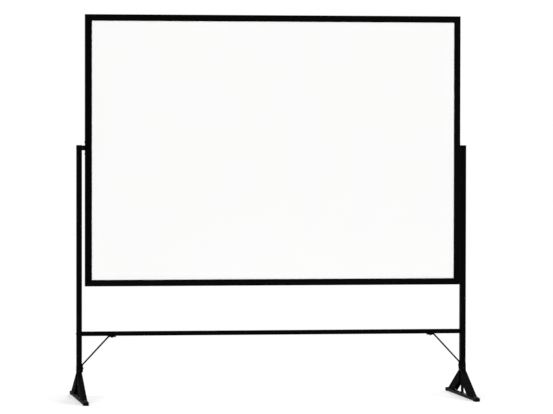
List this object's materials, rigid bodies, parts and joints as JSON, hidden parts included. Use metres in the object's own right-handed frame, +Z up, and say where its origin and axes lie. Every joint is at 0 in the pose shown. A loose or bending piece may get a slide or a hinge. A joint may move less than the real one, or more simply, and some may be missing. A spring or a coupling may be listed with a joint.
{
  "type": "reversible projection board on a stand",
  "caption": "Free-standing flat white projection board in a black frame, pivoted at mid-height between two uprights on triangulated feet tied by a stretcher; it flips right over.",
  "frame": {"origin": "on the floor, midway between the two feet, under the board's pivot axis", "axes": "+X to the viewer's right along the board, +Y to the back, +Z up; the pictured face looks along -Y"},
  "size_m": [1.5964, 0.599, 1.5506],
  "materials": {
    "frame_black": "satin",
    "panel_white": "satin",
    "batten_wood": "matte",
    "honeycomb_card": "matte",
    "key_alloy": "satin",
    "pivot_block_steel": "satin",
    "pivot_steel": "satin",
    "collar_black": "satin",
    "bush_nylon": "matte",
    "tube_black": "satin",
    "foot_black": "satin",
    "strap_black": "satin",
    "brace_black": "satin",
    "cap_plastic": "matte",
    "plug_plastic": "matte",
    "screw_black": "satin",
    "rivet_steel": "satin"
  },
  "bodies": {
    "stand": {"brace_bolts": "screw_black", "brace_screws": "screw_black", "foot_bolts": "screw_black", "foot_rivet_nuts": "rivet_steel", "left_access_plug": "cap_plastic", "left_brace": "brace_black", "left_foot_base": "foot_black", "left_foot_post": "foot_black", "left_front_foot_cap": "cap_plastic", "left_front_strap": "strap_black", "left_pivot_bush": "bush_nylon", "left_rear_foot_cap": "cap_plastic", "left_rear_strap": "strap_black", "left_stretcher_plug": "plug_plastic", "left_upright": "tube_black", "left_upright_cap": "cap_plastic", "left_upright_plug": "plug_plastic", "right_access_plug": "cap_plastic", "right_brace": "brace_black", "right_foot_base": "foot_black", "right_foot_post": "foot_black", "right_front_foot_cap": "cap_plastic", "right_front_strap": "strap_black", "right_pivot_bush": "bush_nylon", "right_rear_foot_cap": "cap_plastic", "right_rear_strap": "strap_black", "right_stretcher_plug": "plug_plastic", "right_upright": "tube_black", "right_upright_cap": "cap_plastic", "right_upright_plug": "plug_plastic", "strap_bolts": "screw_black", "strap_nuts": "screw_black", "stretcher": "tube_black", "stretcher_bolts": "screw_black"},
    "board": {"bottom_batten": "batten_wood", "bottom_left_corner_key": "key_alloy", "bottom_rail": "frame_black", "bottom_right_corner_key": "key_alloy", "corner_key_screws": "screw_black", "front_skin": "panel_white", "honeycomb_core": "honeycomb_card", "left_batten": "batten_wood", "left_pivot_block": "pivot_block_steel", "left_pivot_bolt": "pivot_steel", "left_pivot_collar": "collar_black", "left_stile": "frame_black", "left_thrust_washer": "pivot_steel", "pivot_block_screws": "screw_black", "rear_skin": "panel_white", "right_batten": "batten_wood", "right_pivot_block": "pivot_block_steel", "right_pivot_bolt": "pivot_steel", "right_pivot_collar": "collar_black", "right_stile": "frame_black", "right_thrust_washer": "pivot_steel", "top_batten": "batten_wood", "top_left_corner_key": "key_alloy", "top_rail": "frame_black", "top_right_corner_key": "key_alloy"}
  },
  "joints": [
    {"name": "board_flip", "type": "hinge", "parent": "stand", "child": "board", "pos_m": [0, 0, 1.014], "axis": [1, 0, 0], "continuous": true}
  ]
}
